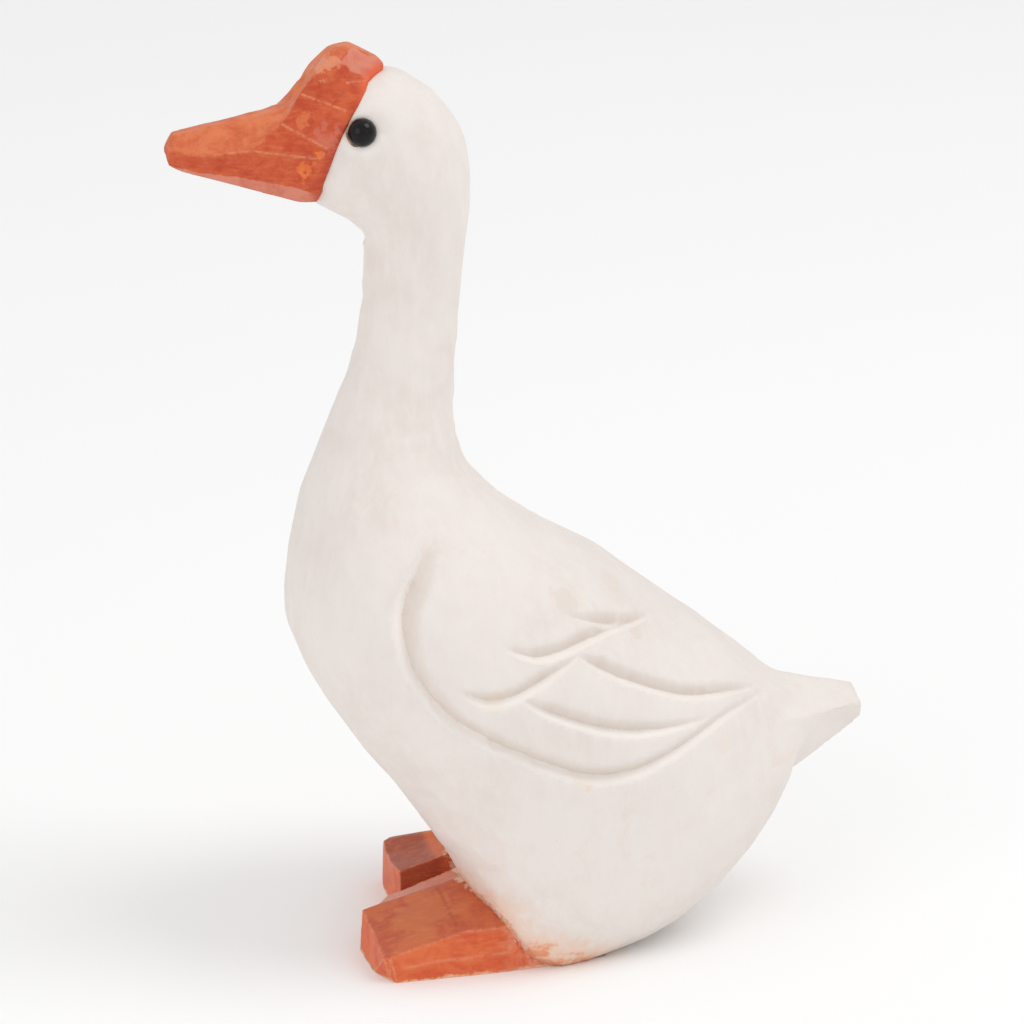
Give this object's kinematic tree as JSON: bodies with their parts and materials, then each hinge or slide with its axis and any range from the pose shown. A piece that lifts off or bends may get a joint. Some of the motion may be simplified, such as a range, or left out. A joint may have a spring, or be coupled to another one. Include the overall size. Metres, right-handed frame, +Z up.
{
  "type": "goose figurine",
  "caption": "Carved and painted wooden goose standing on block feet, with a knobbed orange bill, incised wings and black bead eyes.",
  "frame": {"origin": "on the floor under the middle of the goose's box", "axes": "+Z up, -Y the way the goose faces, +X to the goose's left"},
  "size_m": [0.0366, 0.0754, 0.0994],
  "materials": {
    "painted_wood": "brushed off-white paint, with satin orange paint on the bill and the feet",
    "eye_bead": "glossy black"
  },
  "bodies": {
    "root": {"carved_goose": "painted_wood", "left_eye": "eye_bead", "right_eye": "eye_bead"}
  },
  "joints": []
}
